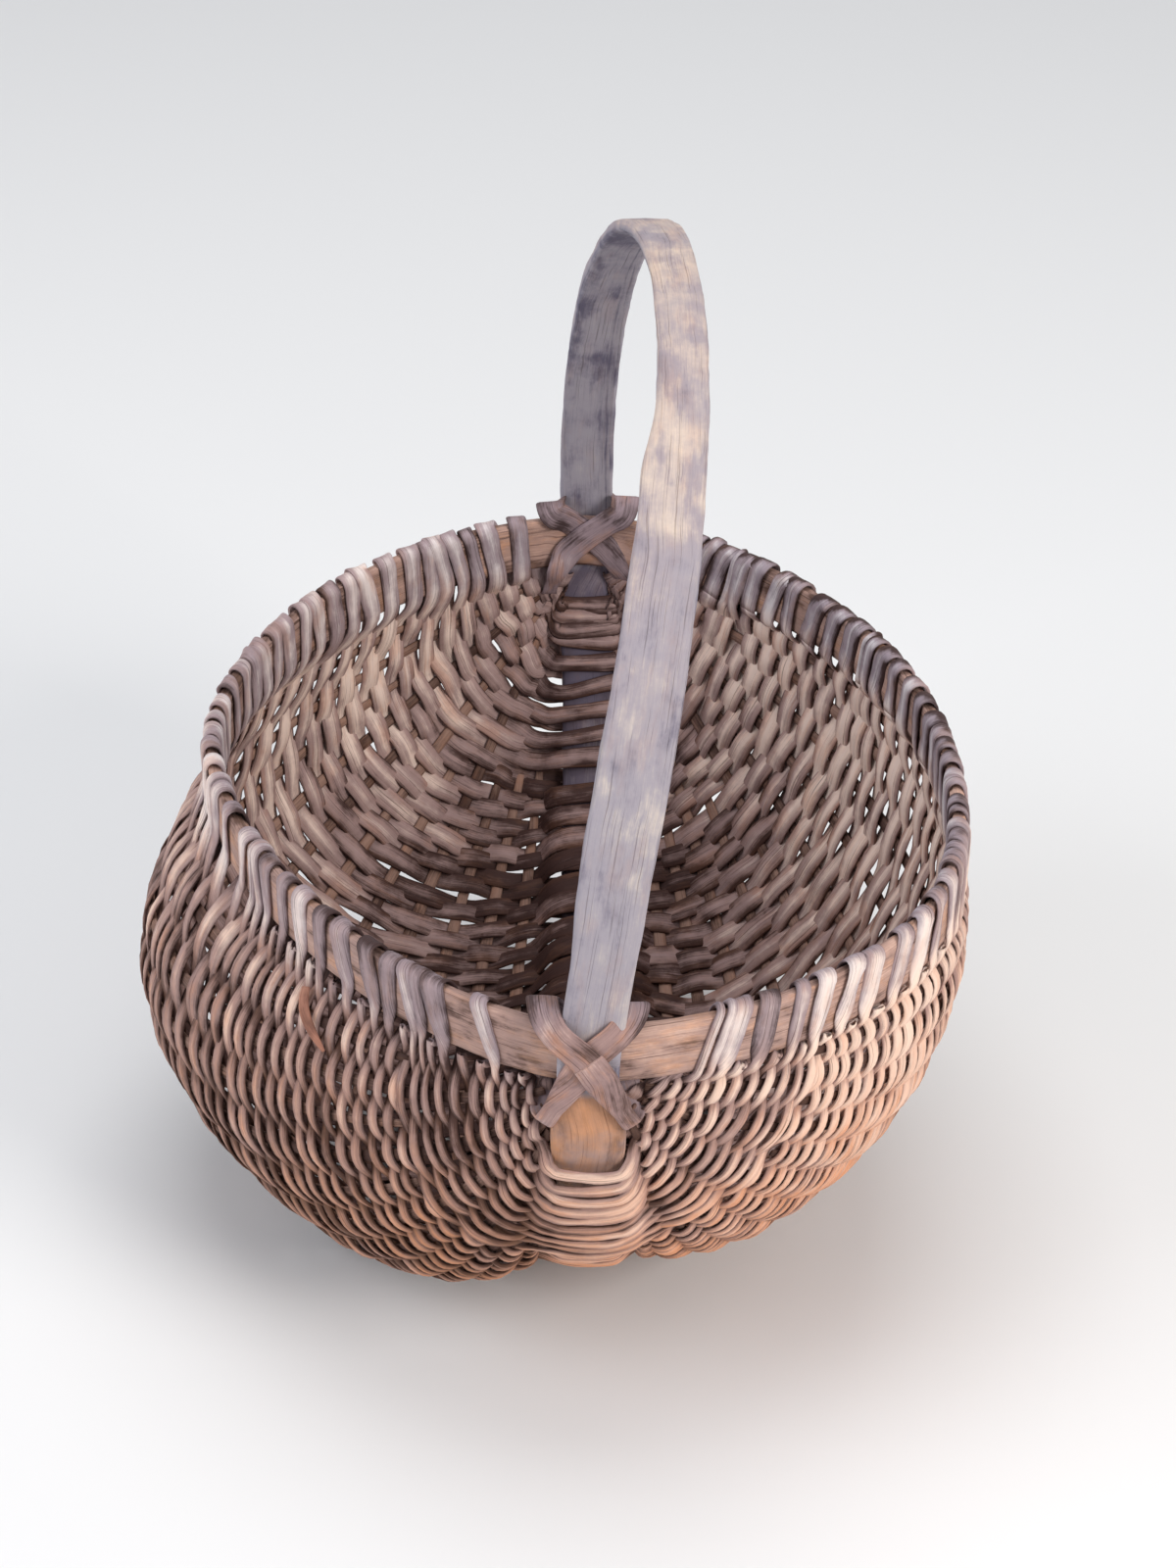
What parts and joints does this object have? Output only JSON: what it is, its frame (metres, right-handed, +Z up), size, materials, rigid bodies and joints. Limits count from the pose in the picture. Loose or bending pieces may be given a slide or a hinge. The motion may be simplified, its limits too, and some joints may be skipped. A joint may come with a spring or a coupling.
{
  "type": "splint gathering basket",
  "caption": "Oval ribbed splint basket with a fixed hoop handle, a two-lobed body woven rim to rim over ribs, and crossed lashings at the ears.",
  "frame": {"origin": "under the middle of the basket's bounding box, on the plane that it stands on", "axes": "+Z up, +Y along the basket from the front ear to the back ear, +X to its right-hand side as seen from the front"},
  "size_m": [0.3006, 0.3714, 0.3645],
  "materials": {
    "handle_wood": "weathered bare split wood, grey-brown, worn tan on the edges",
    "rim_wood": "bare split wood, tan where hands have rubbed it",
    "rib_wood": "whittled bare wood, dry and matt",
    "weaver_splint": "thin flat splint, weathered taupe and grey-brown, with a fine lengthwise grain",
    "lashing_splint": "broad thin splint, dark grey-brown, with a fine lengthwise grain"
  },
  "bodies": {
    "root": {"handle_hoop": "handle_wood", "rim_hoop": "rim_wood", "rib_left_01": "rib_wood", "rib_left_02": "rib_wood", "rib_left_03": "rib_wood", "rib_left_04": "rib_wood", "rib_left_05": "rib_wood", "rib_left_06": "rib_wood", "rib_left_07": "rib_wood", "rib_left_08": "rib_wood", "rib_left_09": "rib_wood", "rib_left_10": "rib_wood", "rib_left_11": "rib_wood", "rib_right_01": "rib_wood", "rib_right_02": "rib_wood", "rib_right_03": "rib_wood", "rib_right_04": "rib_wood", "rib_right_05": "rib_wood", "rib_right_06": "rib_wood", "rib_right_07": "rib_wood", "rib_right_08": "rib_wood", "rib_right_09": "rib_wood", "rib_right_10": "rib_wood", "rib_right_11": "rib_wood", "weaver_01": "weaver_splint", "weaver_02": "weaver_splint", "weaver_03": "weaver_splint", "weaver_04": "weaver_splint", "weaver_05": "weaver_splint", "weaver_06": "weaver_splint", "weaver_07": "weaver_splint", "weaver_08": "weaver_splint", "weaver_09": "weaver_splint", "weaver_10": "weaver_splint", "weaver_11": "weaver_splint", "weaver_12": "weaver_splint", "weaver_13": "weaver_splint", "weaver_14": "weaver_splint", "weaver_15": "weaver_splint", "weaver_16": "weaver_splint", "weaver_17": "weaver_splint", "weaver_18": "weaver_splint", "weaver_19": "weaver_splint", "weaver_20": "weaver_splint", "weaver_21": "weaver_splint", "weaver_22": "weaver_splint", "weaver_23": "weaver_splint", "weaver_24": "weaver_splint", "weaver_25": "weaver_splint", "weaver_26": "weaver_splint", "weaver_27": "weaver_splint", "weaver_28": "weaver_splint", "front_lashing_under": "lashing_splint", "front_lashing_over": "lashing_splint", "back_lashing_under": "lashing_splint", "back_lashing_over": "lashing_splint"}
  },
  "joints": []
}
